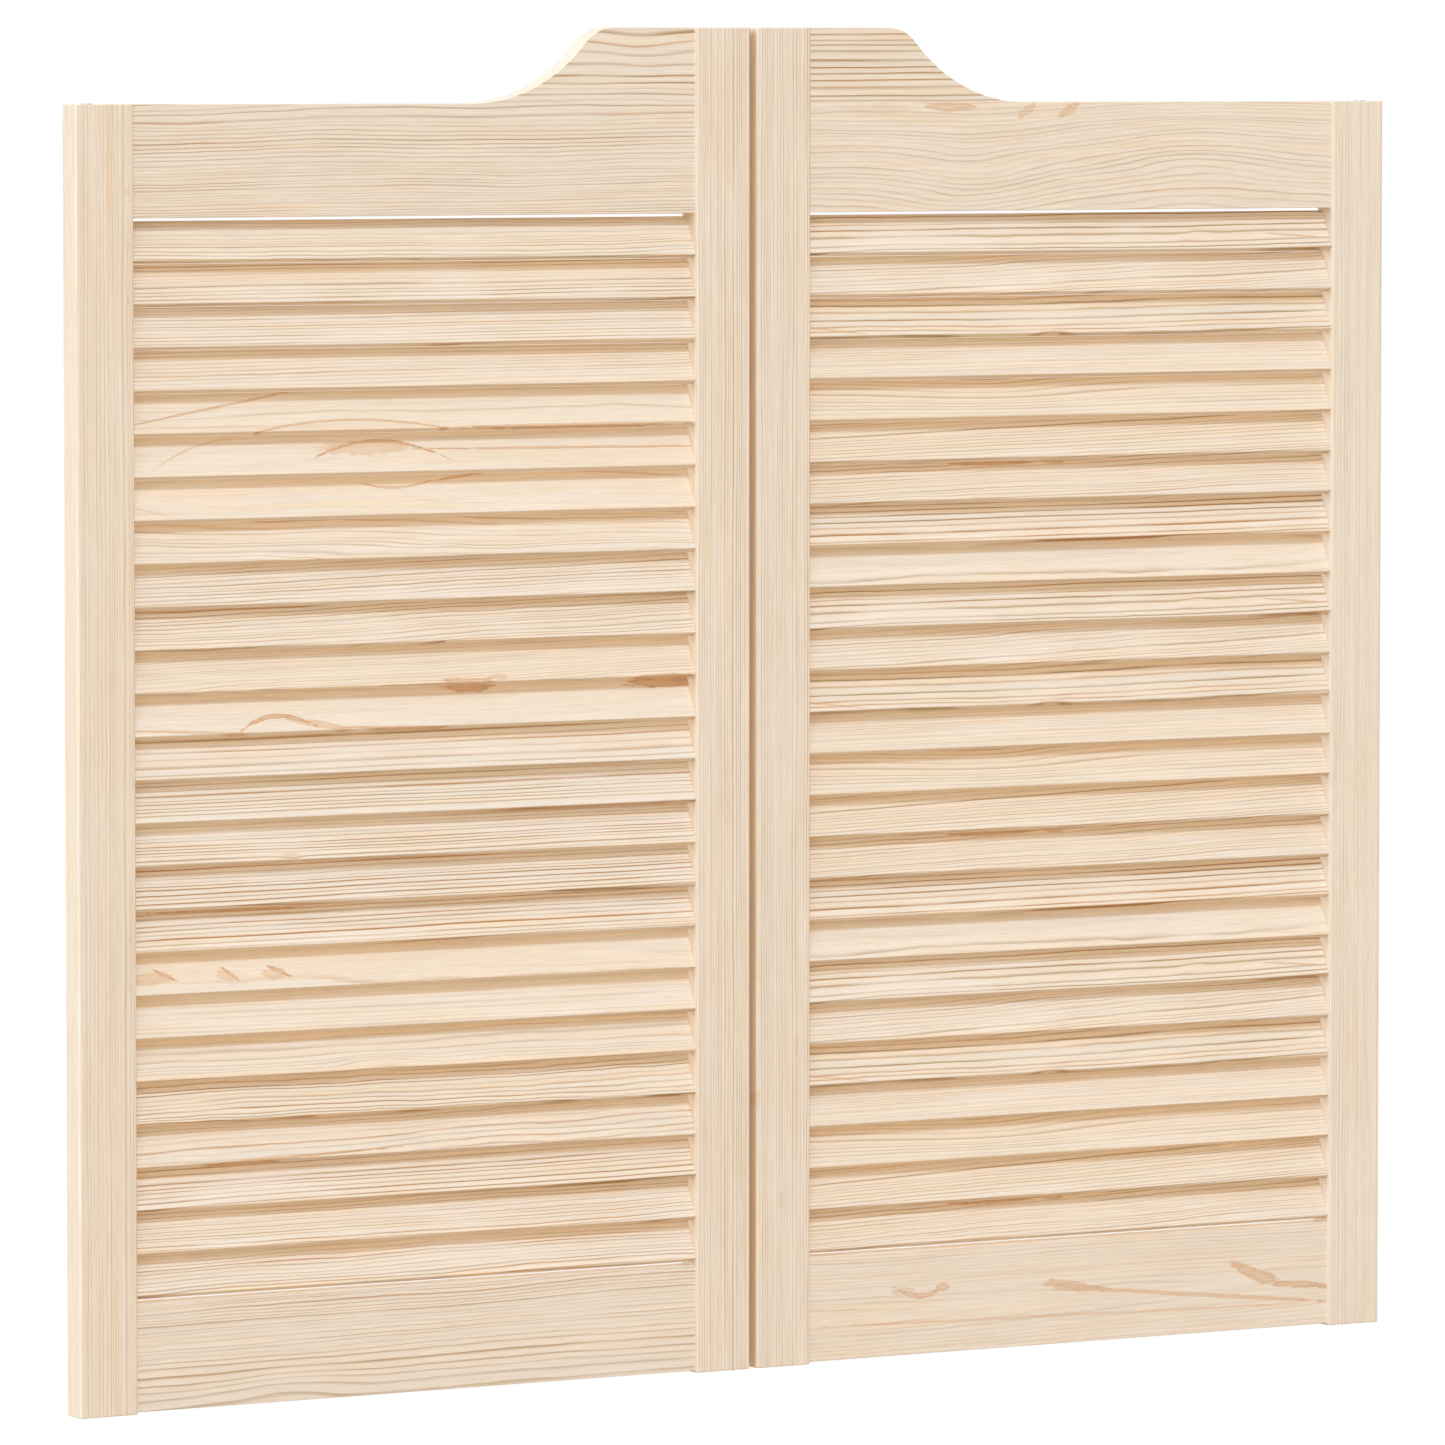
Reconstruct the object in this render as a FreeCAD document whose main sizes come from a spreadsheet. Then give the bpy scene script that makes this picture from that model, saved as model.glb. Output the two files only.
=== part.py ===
import FreeCAD, Part
import math
import os
import Sketcher
from FreeCAD import Rotation, Vector

# A pair of louvred cafe doors, in millimetres, closed. X runs across the pair, Y from front
# to back and Z up. The origin is the middle of the pair, on the plane of the lower brackets
# that the pivot pins are screwed to.

os.makedirs("parts", exist_ok=True)
doc = FreeCAD.newDocument("CafeDoors")
sheet = doc.addObject("Spreadsheet::Sheet", "Sizes")

drivingSizes = {
    # the leaf
    "leafWidth": 503,
    "leafTall": 900,
    "meetingGap": 5,
    "standOff": 0.5,
    "stileWide": 42,
    "stileThick": 20,
    "stileRound": 2,
    "endEase": 0.8,
    "railThick": 16,
    "railEase": 0.5,
    "topRailDeep": 73.5,
    "footRailDeep": 71,
    "footRailLift": 1.3,
    # the sweep of the top rail, from the meeting edge outwards
    "crestRise": 50,
    "crestRun": 104,
    "crestRound": 28,
    "sweepRound": 112,
    # the louvre slats, set in from the stiles' two faces, and the slots that house their ends
    "slatCount": 25,
    "slatThick": 6,
    "slatEase": 0.7,
    "slatTilt": 64.5,
    "slatFrontSet": 1.2,
    "slatBackSet": 1.7,
    "slatTopGap": 2,
    "slatFootGap": 2.3,
    "slatHouse": 5,
    "slotDeep": 5.5,
    "slotClear": 0.1,
    # the dowels between rails and stiles; dowelWeb is the wood left between dowel and pivot
    "dowelDia": 6,
    "dowelWeb": 1.95,
    "dowelEdge": 18,
    "dowelClear": 0.05,
    "dowelEndGap": 0.5,
    # the pivots in the ends of the hinge stiles
    "pivotInset": 13,
    "journalDia": 8,
    "journalClear": 0.03,
    "seatClear": 0.05,
    "bushLong": 20,
    "bushWall": 1.22,
    "flangeLip": 1.5,
    "flangeThick": 1.5,
    "tubeWall": 1.2,
    "tubeLong": 60,
    "capThick": 4,
    "cupDeep": 1.5,
    "ballDia": 5,
    "endPlay": 0.3,
    "collarThick": 4,
    "collarClear": 0.15,
    "tapDia": 4.2,
    "tapDeep": 12,
    "upperBoreExtra": 4,
    # the return spring
    "wireDia": 1.6,
    "coilTurns": 12,
    "turnGap": 0.4,
    "coilClear": 0.35,
    "tangDeep": 2.5,
    "tangClear": 0.1,
}

workedSizes = {
    "leafLow": "leafTall - crestRise",
    "railLong": "leafWidth - 2 * stileWide",
    "openingMid": "meetingGap / 2 + leafWidth / 2",
    "meetingMid": "meetingGap / 2 + stileWide / 2",
    "hingeMid": "meetingGap / 2 + leafWidth - stileWide / 2",
    "railStart": "meetingGap / 2 + stileWide",
    "topRailBase": "leafLow - topRailDeep",
    "footRailTop": "footRailLift + footRailDeep",
    "crestHigh": "topRailDeep + crestRise",
    "crestFlat": "crestRun - stileWide",
    "sweepRun": "sqrt(2 * (crestRound + sweepRound) * crestRise - crestRise ^ 2)",
    "slatCore": "slatThick - 2 * slatEase",
    "slatRun": "stileThick - slatFrontSet - slatBackSet - 2 * slatEase",
    "slatSpan": "(slatRun - slatCore * sin(slatTilt * 1 deg)) / cos(slatTilt * 1 deg)",
    "slatNose": "stileThick / 2 - slatFrontSet - slatEase",
    "slatDrop": "slatCore * cos(slatTilt * 1 deg)",
    "slatRise": "slatSpan * sin(slatTilt * 1 deg) + slatDrop + 2 * slatEase",
    "slatLong": "railLong + 2 * slatHouse",
    "slatFoot": "footRailTop + slatFootGap + slatEase + slatDrop",
    "slatStack": "topRailBase - slatTopGap - footRailTop - slatFootGap",
    "slatPitch": "(slatStack - slatRise) / (slatCount - 1)",
    "pivotX": "meetingGap / 2 + leafWidth - pivotInset",
    "pivotShift": "stileWide / 2 - pivotInset",
    "journalRadius": "journalDia / 2",
    "bushBore": "journalRadius + journalClear",
    "bushRadius": "bushBore + bushWall",
    "bushEnd": "flangeThick + bushLong",
    "tubeBoreRadius": "bushRadius + seatClear",
    "tubeRadius": "tubeBoreRadius + tubeWall",
    "flangeRadius": "tubeRadius + flangeLip",
    "dowelHole": "stileWide - pivotInset - tubeRadius - seatClear - dowelWeb",
    "dowelLong": "2 * (dowelHole - dowelEndGap)",
    "dowelBore": "dowelDia + 2 * dowelClear",
    "footDowelHigh": "footRailDeep - dowelEdge",
    "topDowelHigh": "topRailDeep - dowelEdge",
    "tubeSeat": "standOff + flangeThick",
    "capUnder": "tubeLong - capThick",
    "cupTop": "capUnder + cupDeep",
    "cupRadius": "ballDia / 2 + seatClear",
    "ballMid": "tubeSeat + cupTop - seatClear - ballDia / 2",
    "tapRadius": "tapDia / 2",
    "collarBase": "standOff + bushEnd + endPlay",
    "collarTop": "collarBase + collarThick",
    "collarRadius": "tubeBoreRadius - collarClear",
    "arborRadius": "tubeBoreRadius - wireDia - 2 * coilClear",
    "arborTop": "ballMid - ballDia / 2 - seatClear",
    "upperPinLong": "standOff + bushEnd",
    "upperPinTap": "upperPinLong - tapDeep",
    "upperBoreDeep": "bushEnd + upperBoreExtra",
    "lowerBoreDeep": "flangeThick + tubeLong + seatClear",
    "wireRadius": "wireDia / 2",
    "coilRadius": "(arborRadius + tubeBoreRadius) / 2",
    "coilPitch": "wireDia + turnGap",
    "coilBase": "collarTop + wireRadius + tangClear",
    "coilTall": "coilTurns * coilPitch",
    "coilTop": "coilBase + coilTall",
    "tangHole": "wireDia + 2 * tangClear",
    "lowerTangLong": "coilBase - collarTop + tangDeep",
    "upperTangLong": "tubeSeat + capUnder + tangDeep - coilTop",
    "tangHoleDeep": "tangDeep + 2 * tangClear",
}


def fillSheet():
    cells = [(alias, str(value)) for alias, value in drivingSizes.items()]
    cells += [(alias, "=" + formula) for alias, formula in workedSizes.items()]
    for row, (alias, content) in enumerate(cells, start=1):
        sheet.set(f"A{row}", alias)
        sheet.set(f"B{row}", content)
        sheet.setAlias(f"B{row}", alias)
    doc.recompute()


def size(alias):
    # a cell's value now, or zero where no alias is given
    if not alias:
        return 0.0
    value = sheet.get(alias)
    return float(getattr(value, "Value", value))


# Making bodies and sketches

nodes = []
xAxis = -1  # the sketcher's numbers for a sketch's own axes
yAxis = -2
startEnd = 1  # and for the ends and the centre of a line or an arc
farEnd = 2
centreEnd = 3
middle = (xAxis, startEnd)  # a sketch's own origin point
roughPlace = 10  # a circle's place and diameter before its constraints set them
roughBore = 2
flatness = 1e-6
quarter = math.pi / 2


def newBody(label, x="0", z="0"):
    body = doc.addObject("PartDesign::Body", label)
    body.Label = label
    body.AllowCompound = True
    body.setExpression("Placement.Base.x", x)
    body.setExpression("Placement.Base.z", z)
    nodes.append(body)
    return body


def originPart(body, role):
    return next(part for part in body.Origin.OriginFeatures if part.Role == role)


def newSketch(body, name, role, offset="0"):
    sketch = body.newObject("Sketcher::SketchObject", name)
    sketch.AttachmentSupport = [(originPart(body, role), "")]
    sketch.MapMode = "FlatFace"
    sketch.setExpression("AttachmentOffset.Base.z", offset)
    return sketch


def drawLine(sketch, start, end):
    return sketch.addGeometry(Part.LineSegment(start, end))


def drawArc(sketch, centre, radius, first, last):
    # counterclockwise from angle first to angle last, in radians
    circle = Part.Circle(centre, Vector(0, 0, 1), radius)
    return sketch.addGeometry(Part.ArcOfCircle(circle, first, last))


def hold(sketch, kind, *items):
    return sketch.addConstraint(Sketcher.Constraint(kind, *items))


def bind(sketch, label, formula, kind, *items):
    # a constraint whose value follows a formula of the sheet
    sketch.renameConstraint(hold(sketch, kind, *items), label)
    sketch.setExpression("Constraints." + label, formula)


def padSketch(body, sketch, length, midplane=False):
    pad = body.newObject("PartDesign::Pad", "Pad")
    pad.Profile = sketch
    pad.Midplane = midplane
    pad.setExpression("Length", length)
    doc.recompute()
    return pad


def cutSketch(body, sketch, depth, alongNormal):
    # alongNormal: the cut runs the way the sketch's normal points, otherwise against it
    before = body.Shape.Volume
    pocket = body.newObject("PartDesign::Pocket", "Pocket")
    pocket.Profile = sketch
    pocket.Reversed = alongNormal
    pocket.setExpression("Length", depth)
    doc.recompute()
    if body.Shape.Volume >= before:
        raise RuntimeError(f"{body.Label}: {sketch.Name} cuts nothing")
    return pocket


def repeatAlong(body, feature, role, spacing, count):
    pattern = body.newObject("PartDesign::LinearPattern", "Row")
    pattern.Originals = [feature]
    pattern.Direction = (originPart(body, role), [""])
    pattern.Mode = "Spacing"
    pattern.setExpression("Offset", spacing)
    pattern.setExpression("Occurrences", count)
    body.Tip = pattern
    doc.recompute()


def easeEdges(body, feature, radius, chosen):
    boxes = [edge.BoundBox for edge in feature.Shape.Edges]
    names = [f"Edge{n}" for n, box in enumerate(boxes, start=1) if chosen(box)]
    fillet = body.newObject("PartDesign::Fillet", "Eased")
    fillet.Base = (feature, names)
    fillet.setExpression("Radius", radius)
    doc.recompute()


def addHole(sketch, axis, along, diameter):
    # a circle centred on the sketch's X or Y axis
    centre = Vector(roughPlace, 0) if axis == "X" else Vector(0, roughPlace)
    circle = sketch.addGeometry(Part.Circle(centre, Vector(0, 0, 1), roughBore / 2))
    hold(sketch, "PointOnObject", circle, centreEnd, xAxis if axis == "X" else yAxis)
    bind(sketch, f"place{circle}", along, "Distance" + axis, *middle, circle, centreEnd, roughPlace)
    bind(sketch, f"bore{circle}", diameter, "Diameter", circle, roughBore)


def addTurned(body, outline):
    # half a section as (radius, height) names of the sheet, None for zero, turned about Z
    sketch = newSketch(body, "Section", "XZ_Plane")
    points = [Vector(size(radius), size(height)) for radius, height in outline]
    for start, end in zip(points, points[1:] + points[:1]):
        drawLine(sketch, start, end)
    for n, (radius, height) in enumerate(outline):
        hold(sketch, "Coincident", (n - 1) % len(outline), farEnd, n, startEnd)
        if radius:
            bind(sketch, f"radius{n}", "Sizes." + radius, "DistanceX", *middle, n, startEnd, points[n].x)
        else:
            hold(sketch, "PointOnObject", n, startEnd, yAxis)
        if height:
            bind(sketch, f"height{n}", "Sizes." + height, "DistanceY", *middle, n, startEnd, points[n].y)
        else:
            hold(sketch, "PointOnObject", n, startEnd, xAxis)
    turned = body.newObject("PartDesign::Revolution", "Turned")
    turned.Profile = sketch
    turned.ReferenceAxis = (sketch, ["V_Axis"])
    turned.Angle = 360
    doc.recompute()


# Outlines


def drawStileSection(sketch):
    # a rectangle about the origin with all four long edges rounded
    wide = size("stileWide") / 2
    thick = size("stileThick") / 2
    radius = size("stileRound")
    x = wide - radius
    y = thick - radius
    front = drawLine(sketch, Vector(-x, -thick), Vector(x, -thick))
    right = drawLine(sketch, Vector(wide, -y), Vector(wide, y))
    back = drawLine(sketch, Vector(x, thick), Vector(-x, thick))
    left = drawLine(sketch, Vector(-wide, y), Vector(-wide, -y))
    corners = []
    for n, centre in enumerate([Vector(x, -y), Vector(x, y), Vector(-x, y), Vector(-x, -y)]):
        corners.append(drawArc(sketch, centre, radius, (n - 1) * quarter, n * quarter))
    sides = [front, right, back, left]
    for n, corner in enumerate(corners):
        hold(sketch, "Tangent", sides[n], farEnd, corner, startEnd)
        hold(sketch, "Tangent", corner, farEnd, sides[n - 3], startEnd)
    for line in (front, back):
        hold(sketch, "Horizontal", line)
    for line in (right, left):
        hold(sketch, "Vertical", line)
    for corner in corners[1:]:
        hold(sketch, "Equal", corners[0], corner)
    hold(sketch, "Symmetric", front, startEnd, back, startEnd, *middle)
    bind(sketch, "corner", "Sizes.stileRound", "Radius", corners[0], radius)
    bind(sketch, "wide", "Sizes.stileWide", "DistanceX", left, startEnd, right, startEnd, 2 * wide)
    bind(sketch, "thick", "Sizes.stileThick", "DistanceY", front, startEnd, back, startEnd, 2 * thick)


def drawSlatSection(sketch, clearance=None, foot=None):
    # a board with eased edges, tilted in the YZ plane with its front edge low; the centres of
    # the four corner arcs stay put when a clearance is added, and foot is the height of the
    # front lower one
    tilt = math.radians(size("slatTilt"))
    radius = size("slatEase")
    radiusFormula = "Sizes.slatEase"
    if clearance:
        radius += size(clearance)
        radiusFormula += " + Sizes." + clearance
    up = Vector(math.cos(tilt), math.sin(tilt))
    out = Vector(-math.sin(tilt), math.cos(tilt))
    noseCentre = Vector(-size("slatNose"), size(foot))
    crownCentre = noseCentre + up * size("slatSpan")
    heelCentre = noseCentre - out * size("slatCore")
    backCentre = crownCentre - out * size("slatCore")
    face = drawLine(sketch, noseCentre + out * radius, crownCentre + out * radius)
    top = drawLine(sketch, crownCentre + up * radius, backCentre + up * radius)
    under = drawLine(sketch, backCentre - out * radius, heelCentre - out * radius)
    edge = drawLine(sketch, heelCentre - up * radius, noseCentre - up * radius)
    crown = drawArc(sketch, crownCentre, radius, tilt, tilt + quarter)
    back = drawArc(sketch, backCentre, radius, tilt - quarter, tilt)
    heel = drawArc(sketch, heelCentre, radius, tilt - 2 * quarter, tilt - quarter)
    nose = drawArc(sketch, noseCentre, radius, tilt + quarter, tilt + 2 * quarter)
    for before, corner, after in (
        (face, crown, top),
        (top, back, under),
        (under, heel, edge),
        (edge, nose, face),
    ):
        hold(sketch, "Tangent", before, farEnd, corner, farEnd)
        hold(sketch, "Tangent", corner, startEnd, after, startEnd)
    for corner in (crown, back, heel):
        hold(sketch, "Equal", nose, corner)
    hold(sketch, "Perpendicular", face, top)
    bind(sketch, "round", radiusFormula, "Radius", nose, radius)
    bind(sketch, "span", "Sizes.slatSpan", "Distance", nose, centreEnd, crown, centreEnd, size("slatSpan"))
    bind(sketch, "core", "Sizes.slatCore", "Distance", nose, centreEnd, heel, centreEnd, size("slatCore"))
    bind(sketch, "tilt", "Sizes.slatTilt * 1 deg", "Angle", face, tilt)
    bind(sketch, "nose", "-Sizes.slatNose", "DistanceX", *middle, nose, centreEnd, noseCentre.x)
    if foot:
        bind(sketch, "foot", "Sizes." + foot, "DistanceY", *middle, nose, centreEnd, noseCentre.y)
    else:
        hold(sketch, "PointOnObject", nose, centreEnd, xAxis)


def drawFootRail(sketch, side):
    # from the meeting stile outwards, its lower edge on the sketch's X axis
    far = side * size("railLong")
    high = size("footRailDeep")
    corners = [Vector(0, 0), Vector(0, high), Vector(far, high), Vector(far, 0)]
    for n, corner in enumerate(corners):
        drawLine(sketch, corner, corners[n - 3])
    for n in range(len(corners)):
        hold(sketch, "Coincident", (n - 1) % len(corners), farEnd, n, startEnd)
        hold(sketch, "Vertical" if n % 2 == 0 else "Horizontal", n)
    hold(sketch, "Coincident", 0, startEnd, *middle)
    bind(sketch, "deep", "Sizes.footRailDeep", "DistanceY", 0, startEnd, 0, farEnd, high)
    bind(sketch, "along", f"{side} * Sizes.railLong", "DistanceX", 1, startEnd, 1, farEnd, far)


def drawTopRail(sketch, side):
    # a flat crest beside the meeting stile, then a round shoulder and a hollow sweep down to
    # the low part; the two arcs share a tangent, so the sweep's run follows from its rise
    far = side * size("railLong")
    low = size("topRailDeep")
    crest = size("crestHigh")
    crestEnd = side * size("crestFlat")
    sweepEnd = crestEnd + side * size("sweepRun")
    shoulder = Vector(crestEnd, crest - size("crestRound"))
    bowl = Vector(sweepEnd, low + size("sweepRound"))
    down = bowl - shoulder
    meetAngle = math.atan2(down.y, down.x)
    meeting = drawLine(sketch, Vector(0, 0), Vector(0, crest))
    crestLine = drawLine(sketch, Vector(0, crest), Vector(crestEnd, crest))
    lowLine = drawLine(sketch, Vector(sweepEnd, low), Vector(far, low))
    hinge = drawLine(sketch, Vector(far, low), Vector(far, 0))
    base = drawLine(sketch, Vector(far, 0), Vector(0, 0))
    # arcs run counterclockwise, so on the right leaf they run towards the meeting stile
    if side > 0:
        convex = drawArc(sketch, shoulder, size("crestRound"), meetAngle, quarter)
        concave = drawArc(sketch, bowl, size("sweepRound"), meetAngle + math.pi, 3 * quarter)
        ends = [(convex, farEnd), (convex, startEnd), (concave, startEnd), (concave, farEnd)]
    else:
        convex = drawArc(sketch, shoulder, size("crestRound"), quarter, meetAngle)
        concave = drawArc(sketch, bowl, size("sweepRound"), 3 * quarter, meetAngle + math.pi)
        ends = [(convex, startEnd), (convex, farEnd), (concave, farEnd), (concave, startEnd)]
    hold(sketch, "Tangent", crestLine, farEnd, *ends[0])
    hold(sketch, "Tangent", *ends[1], *ends[2])
    hold(sketch, "Tangent", *ends[3], lowLine, startEnd)
    for before, after in ((meeting, crestLine), (lowLine, hinge), (hinge, base), (base, meeting)):
        hold(sketch, "Coincident", before, farEnd, after, startEnd)
    hold(sketch, "Coincident", meeting, startEnd, *middle)
    for line in (meeting, hinge):
        hold(sketch, "Vertical", line)
    for line in (crestLine, lowLine, base):
        hold(sketch, "Horizontal", line)
    bind(sketch, "crest", "Sizes.crestHigh", "DistanceY", meeting, startEnd, meeting, farEnd, crest)
    crestFormula = f"{side} * Sizes.crestFlat"
    bind(sketch, "flat", crestFormula, "DistanceX", crestLine, startEnd, crestLine, farEnd, crestEnd)
    bind(sketch, "shoulder", "Sizes.crestRound", "Radius", convex, size("crestRound"))
    bind(sketch, "hollow", "Sizes.sweepRound", "Radius", concave, size("sweepRound"))
    bind(sketch, "low", "Sizes.topRailDeep", "DistanceY", hinge, farEnd, hinge, startEnd, low)
    bind(sketch, "along", f"{side} * Sizes.railLong", "DistanceX", base, farEnd, base, startEnd, far)


# The leaf. side is -1 for the left leaf and 1 for the right one.

footDowels = ("Sizes.dowelEdge", "Sizes.footDowelHigh")  # heights above the rail's lower edge
topDowels = ("Sizes.dowelEdge", "Sizes.topDowelHigh")


def addStile(label, side, mid, tall, inward):
    # inward is the X direction from this stile towards the louvres
    body = newBody(label, f"{side} * Sizes.{mid}", "Sizes.standOff")
    section = newSketch(body, "Section", "XY_Plane")
    drawStileSection(section)
    pad = padSketch(body, section, "Sizes." + tall)
    top = size(tall) - flatness
    easeEdges(body, pad, "Sizes.endEase", lambda box: box.ZMax < flatness or box.ZMin > top)
    innerFace = f"{inward} * Sizes.stileWide / 2"
    dowels = newSketch(body, "DowelHoles", "YZ_Plane", innerFace)
    for rise in footDowels:
        addHole(dowels, "Y", "Sizes.footRailLift + " + rise, "Sizes.dowelBore")
    for rise in topDowels:
        addHole(dowels, "Y", "Sizes.topRailBase + " + rise, "Sizes.dowelBore")
    cutSketch(body, dowels, "Sizes.dowelHole", inward < 0)
    slot = newSketch(body, "Slot", "YZ_Plane", innerFace)
    drawSlatSection(slot, "slotClear", "slatFoot")
    cut = cutSketch(body, slot, "Sizes.slotDeep", inward < 0)
    repeatAlong(body, cut, "Z_Axis", "Sizes.slatPitch", "Sizes.slatCount")
    return body


def addHingeStile(name, side):
    # its ends are bored for the pivots
    body = addStile(f"{name}_hinge_stile", side, "hingeMid", "leafLow", -side)
    flange = "2 * (Sizes.flangeRadius + Sizes.seatClear)"
    tube = "2 * (Sizes.tubeRadius + Sizes.seatClear)"
    bush = "2 * (Sizes.bushRadius + Sizes.seatClear)"
    for bore, height, diameter, depth in (
        ("LowerFlange", "0", flange, "Sizes.flangeThick"),
        ("LowerBore", "0", tube, "Sizes.lowerBoreDeep"),
        ("UpperFlange", "Sizes.leafLow", flange, "Sizes.flangeThick"),
        ("UpperBore", "Sizes.leafLow", bush, "Sizes.upperBoreDeep"),
    ):
        hole = newSketch(body, bore, "XY_Plane", height)
        addHole(hole, "X", f"{side} * Sizes.pivotShift", diameter)
        cutSketch(body, hole, depth, height == "0")


def addMeetingStile(name, side):
    addStile(f"{name}_meeting_stile", side, "meetingMid", "leafTall", side)


def addRail(label, side, base, draw, dowelHeights):
    body = newBody(label, f"{side} * Sizes.railStart", base)
    outline = newSketch(body, "Outline", "XZ_Plane")
    draw(outline, side)
    pad = padSketch(body, outline, "Sizes.railThick", midplane=True)
    easeEdges(body, pad, "Sizes.railEase", lambda box: box.YLength < flatness < box.XLength)
    for offset, inward in (("0", side), (f"{side} * Sizes.railLong", -side)):
        ends = newSketch(body, "DowelHoles", "YZ_Plane", offset)
        for rise in dowelHeights:
            addHole(ends, "Y", rise, "Sizes.dowelBore")
        cutSketch(body, ends, "Sizes.dowelHole", inward > 0)


def addDowels(label, side, base, dowelHeights):
    # two at each end of a rail, half in the rail and half in the stile
    body = newBody(label, f"{side} * Sizes.openingMid - Sizes.railLong / 2", base)
    section = newSketch(body, "Section", "YZ_Plane")
    for rise in dowelHeights:
        addHole(section, "Y", rise, "Sizes.dowelDia")
    pad = padSketch(body, section, "Sizes.dowelLong", midplane=True)
    repeatAlong(body, pad, "X_Axis", "Sizes.railLong", "2")


def addSlats(name, side, first, count):
    # one slat, or two one above the other; slats are numbered from the top
    numbers = "_".join(f"{first + n:02d}" for n in range(count))
    label = f"{name}_slat_{numbers}" if count == 1 else f"{name}_slats_{numbers}"
    lowest = first + count - 1
    base = f"Sizes.standOff + Sizes.slatFoot + (Sizes.slatCount - {lowest}) * Sizes.slatPitch"
    body = newBody(label, f"{side} * Sizes.openingMid", base)
    section = newSketch(body, "Section", "YZ_Plane")
    drawSlatSection(section)
    pad = padSketch(body, section, "Sizes.slatLong", midplane=True)
    if count > 1:
        repeatAlong(body, pad, "Z_Axis", "Sizes.slatPitch", str(count))


# The pivots. Each hinge stile turns on a pin at either end; the lower pin carries the leaf
# on a ball at the top of its tube, and the spring round it brings the leaf back to closed.


def addBush(label, side, seat, upward):
    # a flanged bush, its flange let into the end of the stile
    body = newBody(label, f"{side} * Sizes.pivotX", seat)
    outline = [
        ("bushBore", None),
        ("flangeRadius", None),
        ("flangeRadius", "flangeThick"),
        ("bushRadius", "flangeThick"),
        ("bushRadius", "bushEnd"),
        ("bushBore", "bushEnd"),
    ]
    addTurned(body, outline)
    if not upward:
        body.Placement.Rotation = Rotation(Vector(1, 0, 0), 180)


def addSpringTube(label, side):
    body = newBody(label, f"{side} * Sizes.pivotX", "Sizes.tubeSeat")
    outline = [
        ("tubeBoreRadius", None),
        ("tubeRadius", None),
        ("tubeRadius", "tubeLong"),
        (None, "tubeLong"),
        (None, "cupTop"),
        ("cupRadius", "cupTop"),
        ("cupRadius", "capUnder"),
        ("tubeBoreRadius", "capUnder"),
    ]
    addTurned(body, outline)
    tang = newSketch(body, "TangHole", "XY_Plane", "Sizes.capUnder")
    addHole(tang, "X", "Sizes.coilRadius", "Sizes.tangHole")
    cutSketch(body, tang, "Sizes.tangHoleDeep", True)


def addThrustBall(label, side):
    ball = doc.addObject("Part::Sphere", label)
    ball.Label = label
    ball.setExpression("Radius", "Sizes.ballDia / 2")
    ball.setExpression("Placement.Base.x", f"{side} * Sizes.pivotX")
    ball.setExpression("Placement.Base.z", "Sizes.ballMid")
    nodes.append(ball)


def addLowerPin(label, side):
    body = newBody(label, f"{side} * Sizes.pivotX")
    outline = [
        ("tapRadius", None),
        ("journalRadius", None),
        ("journalRadius", "collarBase"),
        ("collarRadius", "collarBase"),
        ("collarRadius", "collarTop"),
        ("arborRadius", "collarTop"),
        ("arborRadius", "arborTop"),
        (None, "arborTop"),
        (None, "tapDeep"),
        ("tapRadius", "tapDeep"),
    ]
    addTurned(body, outline)
    tang = newSketch(body, "TangHole", "XY_Plane", "Sizes.collarTop")
    addHole(tang, "X", "Sizes.coilRadius", "Sizes.tangHole")
    cutSketch(body, tang, "Sizes.tangHoleDeep", False)


def addUpperPin(label, side):
    top = "Sizes.leafLow + 2 * Sizes.standOff"
    body = newBody(label, f"{side} * Sizes.pivotX", top + " - Sizes.upperPinLong")
    outline = [
        (None, None),
        ("journalRadius", None),
        ("journalRadius", "upperPinLong"),
        ("tapRadius", "upperPinLong"),
        ("tapRadius", "upperPinTap"),
        (None, "upperPinTap"),
    ]
    addTurned(body, outline)


def addReturnSpring(label, side):
    # a coil with a straight tang at each end, one in the pin's collar and one in the tube's cap
    coil = doc.addObject("Part::Helix", label + "_coil")
    coil.setExpression("Radius", "Sizes.coilRadius")
    coil.setExpression("Pitch", "Sizes.coilPitch")
    coil.setExpression("Height", "Sizes.coilTall")
    wire = doc.addObject("Part::Circle", label + "_wire")
    wire.setExpression("Radius", "Sizes.wireRadius")
    wire.setExpression("Placement.Base.x", "Sizes.coilRadius")
    wire.Placement.Rotation = Rotation(Vector(1, 0, 0), 90)
    turns = doc.addObject("Part::Sweep", label + "_turns")
    turns.Sections = [wire]
    turns.Spine = (coil, [])
    turns.Solid = True
    turns.Frenet = True
    parts = [turns]
    for end, bendHeight, tangBase in (
        ("lower", "0", "-Sizes.lowerTangLong"),
        ("upper", "Sizes.coilTall", "Sizes.coilTall"),
    ):
        bend = doc.addObject("Part::Sphere", f"{label}_{end}_bend")
        bend.setExpression("Radius", "Sizes.wireRadius")
        bend.setExpression("Placement.Base.x", "Sizes.coilRadius")
        bend.setExpression("Placement.Base.z", bendHeight)
        tang = doc.addObject("Part::Cylinder", f"{label}_{end}_tang")
        tang.setExpression("Radius", "Sizes.wireRadius")
        tang.setExpression("Height", f"Sizes.{end}TangLong")
        tang.setExpression("Placement.Base.x", "Sizes.coilRadius")
        tang.setExpression("Placement.Base.z", tangBase)
        parts += [bend, tang]
    spring = doc.addObject("Part::MultiFuse", label)
    spring.Label = label
    spring.Shapes = parts
    spring.setExpression("Placement.Base.x", f"{side} * Sizes.pivotX")
    spring.setExpression("Placement.Base.z", "Sizes.coilBase")
    nodes.append(spring)


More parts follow.
